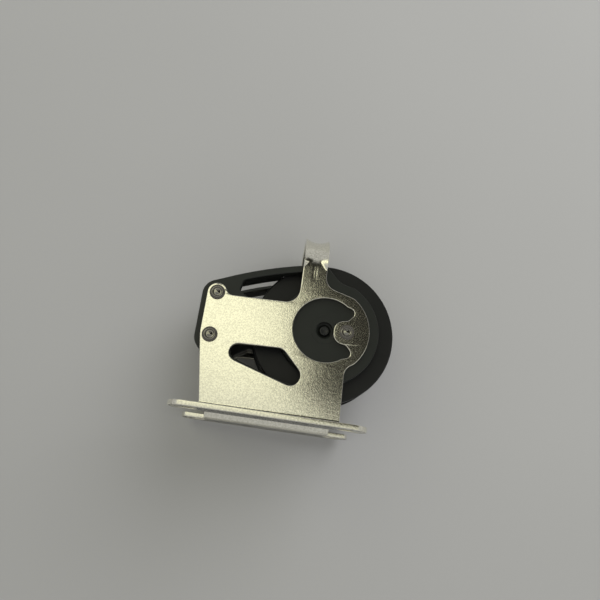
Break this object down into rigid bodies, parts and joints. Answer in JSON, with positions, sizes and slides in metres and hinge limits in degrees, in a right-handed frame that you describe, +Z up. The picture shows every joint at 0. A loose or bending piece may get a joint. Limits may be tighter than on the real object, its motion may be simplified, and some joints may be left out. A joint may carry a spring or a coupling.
{
  "type": "upright single sheave block",
  "caption": "Upright deck-mounted single sheave block: bent stainless bracket with a rope-keeper bail, moulded cheeks and a roller-bearing sheave on a horizontal axle.",
  "frame": {"origin": "centre of the four mounting holes, on the underside of the base flanges", "axes": "+X from the riveted head towards the sheave's free edge, +Y along the sheave's axle, +Z up from the deck; the front is the -Y side"},
  "size_m": [0.0862, 0.064, 0.0842],
  "materials": {
    "stainless_sheet": "electropolished stainless sheet with a fine orange-peel texture",
    "rivet_steel": "rolled stainless rivet heads, turned face",
    "cheek_plastic": "glass-filled nylon, satin moulded",
    "spacer_plastic": "glass-filled nylon, satin moulded",
    "sheave_plastic": "acetal, machined, fine turning marks",
    "hub_plastic": "filled polymer race, smooth",
    "pin_plastic": "black polymer, satin",
    "cage_plastic": "natural acetal",
    "bearing_plastic": "brown high-load bearing polymer"
  },
  "bodies": {
    "block": {"bracket": "stainless_sheet", "front_cheek": "cheek_plastic", "rear_cheek": "cheek_plastic", "head_spacer": "spacer_plastic", "bearing_hub": "hub_plastic", "centre_pin": "pin_plastic", "head_rivets": "rivet_steel", "hub_rivet": "rivet_steel"},
    "sheave": {"sheave": "sheave_plastic"},
    "roller_cage": {"roller_cage": "cage_plastic"},
    "front_ball_row": {"front_ball_ring": "cage_plastic", "front_balls": "bearing_plastic"},
    "rear_ball_row": {"rear_ball_ring": "cage_plastic", "rear_balls": "bearing_plastic"},
    "roller_01": {"roller_01": "bearing_plastic"},
    "roller_02": {"roller_02": "bearing_plastic"},
    "roller_03": {"roller_03": "bearing_plastic"},
    "roller_04": {"roller_04": "bearing_plastic"},
    "roller_05": {"roller_05": "bearing_plastic"},
    "roller_06": {"roller_06": "bearing_plastic"},
    "roller_07": {"roller_07": "bearing_plastic"},
    "roller_08": {"roller_08": "bearing_plastic"},
    "roller_09": {"roller_09": "bearing_plastic"},
    "roller_10": {"roller_10": "bearing_plastic"},
    "roller_11": {"roller_11": "bearing_plastic"},
    "roller_12": {"roller_12": "bearing_plastic"},
    "roller_13": {"roller_13": "bearing_plastic"},
    "roller_14": {"roller_14": "bearing_plastic"},
    "roller_15": {"roller_15": "bearing_plastic"},
    "roller_16": {"roller_16": "bearing_plastic"}
  },
  "joints": [
    {"name": "sheave_spin", "type": "hinge", "parent": "block", "child": "sheave", "pos_m": [0.0182, 0, 0.04], "axis": [0, 1, 0], "continuous": true},
    {"name": "cage_orbit", "type": "hinge", "parent": "block", "child": "roller_cage", "pos_m": [0.0182, 0, 0.04], "axis": [0, 1, 0], "continuous": true},
    {"name": "front_ball_orbit", "type": "hinge", "parent": "block", "child": "front_ball_row", "pos_m": [0.0182, 0, 0.04], "axis": [0, 1, 0], "continuous": true},
    {"name": "rear_ball_orbit", "type": "hinge", "parent": "block", "child": "rear_ball_row", "pos_m": [0.0182, 0, 0.04], "axis": [0, 1, 0], "continuous": true},
    {"name": "roller_01_spin", "type": "hinge", "parent": "roller_cage", "child": "roller_01", "pos_m": [0.032, 0, 0.04], "axis": [0, 1, 0], "continuous": true},
    {"name": "roller_02_spin", "type": "hinge", "parent": "roller_cage", "child": "roller_02", "pos_m": [0.03095, 0, 0.04528], "axis": [0, 1, 0], "continuous": true},
    {"name": "roller_03_spin", "type": "hinge", "parent": "roller_cage", "child": "roller_03", "pos_m": [0.02796, 0, 0.04976], "axis": [0, 1, 0], "continuous": true},
    {"name": "roller_04_spin", "type": "hinge", "parent": "roller_cage", "child": "roller_04", "pos_m": [0.02348, 0, 0.05275], "axis": [0, 1, 0], "continuous": true},
    {"name": "roller_05_spin", "type": "hinge", "parent": "roller_cage", "child": "roller_05", "pos_m": [0.0182, 0, 0.0538], "axis": [0, 1, 0], "continuous": true},
    {"name": "roller_06_spin", "type": "hinge", "parent": "roller_cage", "child": "roller_06", "pos_m": [0.01292, 0, 0.05275], "axis": [0, 1, 0], "continuous": true},
    {"name": "roller_07_spin", "type": "hinge", "parent": "roller_cage", "child": "roller_07", "pos_m": [0.00844, 0, 0.04976], "axis": [0, 1, 0], "continuous": true},
    {"name": "roller_08_spin", "type": "hinge", "parent": "roller_cage", "child": "roller_08", "pos_m": [0.00545, 0, 0.04528], "axis": [0, 1, 0], "continuous": true},
    {"name": "roller_09_spin", "type": "hinge", "parent": "roller_cage", "child": "roller_09", "pos_m": [0.0044, 0, 0.04], "axis": [0, 1, 0], "continuous": true},
    {"name": "roller_10_spin", "type": "hinge", "parent": "roller_cage", "child": "roller_10", "pos_m": [0.00545, 0, 0.03472], "axis": [0, 1, 0], "continuous": true},
    {"name": "roller_11_spin", "type": "hinge", "parent": "roller_cage", "child": "roller_11", "pos_m": [0.00844, 0, 0.03024], "axis": [0, 1, 0], "continuous": true},
    {"name": "roller_12_spin", "type": "hinge", "parent": "roller_cage", "child": "roller_12", "pos_m": [0.01292, 0, 0.02725], "axis": [0, 1, 0], "continuous": true},
    {"name": "roller_13_spin", "type": "hinge", "parent": "roller_cage", "child": "roller_13", "pos_m": [0.0182, 0, 0.0262], "axis": [0, 1, 0], "continuous": true},
    {"name": "roller_14_spin", "type": "hinge", "parent": "roller_cage", "child": "roller_14", "pos_m": [0.02348, 0, 0.02725], "axis": [0, 1, 0], "continuous": true},
    {"name": "roller_15_spin", "type": "hinge", "parent": "roller_cage", "child": "roller_15", "pos_m": [0.02796, 0, 0.03024], "axis": [0, 1, 0], "continuous": true},
    {"name": "roller_16_spin", "type": "hinge", "parent": "roller_cage", "child": "roller_16", "pos_m": [0.03095, 0, 0.03472], "axis": [0, 1, 0], "continuous": true}
  ],
  "couplings": [
    {"joint": "cage_orbit", "follows": "sheave_spin", "ratio": 0.55797},
    {"joint": "front_ball_orbit", "follows": "sheave_spin", "ratio": 0.5},
    {"joint": "rear_ball_orbit", "follows": "sheave_spin", "ratio": 0.5},
    {"joint": "roller_01_spin", "follows": "sheave_spin", "ratio": 4.2545},
    {"joint": "roller_02_spin", "follows": "sheave_spin", "ratio": 4.2545},
    {"joint": "roller_03_spin", "follows": "sheave_spin", "ratio": 4.2545},
    {"joint": "roller_04_spin", "follows": "sheave_spin", "ratio": 4.2545},
    {"joint": "roller_05_spin", "follows": "sheave_spin", "ratio": 4.2545},
    {"joint": "roller_06_spin", "follows": "sheave_spin", "ratio": 4.2545},
    {"joint": "roller_07_spin", "follows": "sheave_spin", "ratio": 4.2545},
    {"joint": "roller_08_spin", "follows": "sheave_spin", "ratio": 4.2545},
    {"joint": "roller_09_spin", "follows": "sheave_spin", "ratio": 4.2545},
    {"joint": "roller_10_spin", "follows": "sheave_spin", "ratio": 4.2545},
    {"joint": "roller_11_spin", "follows": "sheave_spin", "ratio": 4.2545},
    {"joint": "roller_12_spin", "follows": "sheave_spin", "ratio": 4.2545},
    {"joint": "roller_13_spin", "follows": "sheave_spin", "ratio": 4.2545},
    {"joint": "roller_14_spin", "follows": "sheave_spin", "ratio": 4.2545},
    {"joint": "roller_15_spin", "follows": "sheave_spin", "ratio": 4.2545},
    {"joint": "roller_16_spin", "follows": "sheave_spin", "ratio": 4.2545}
  ]
}
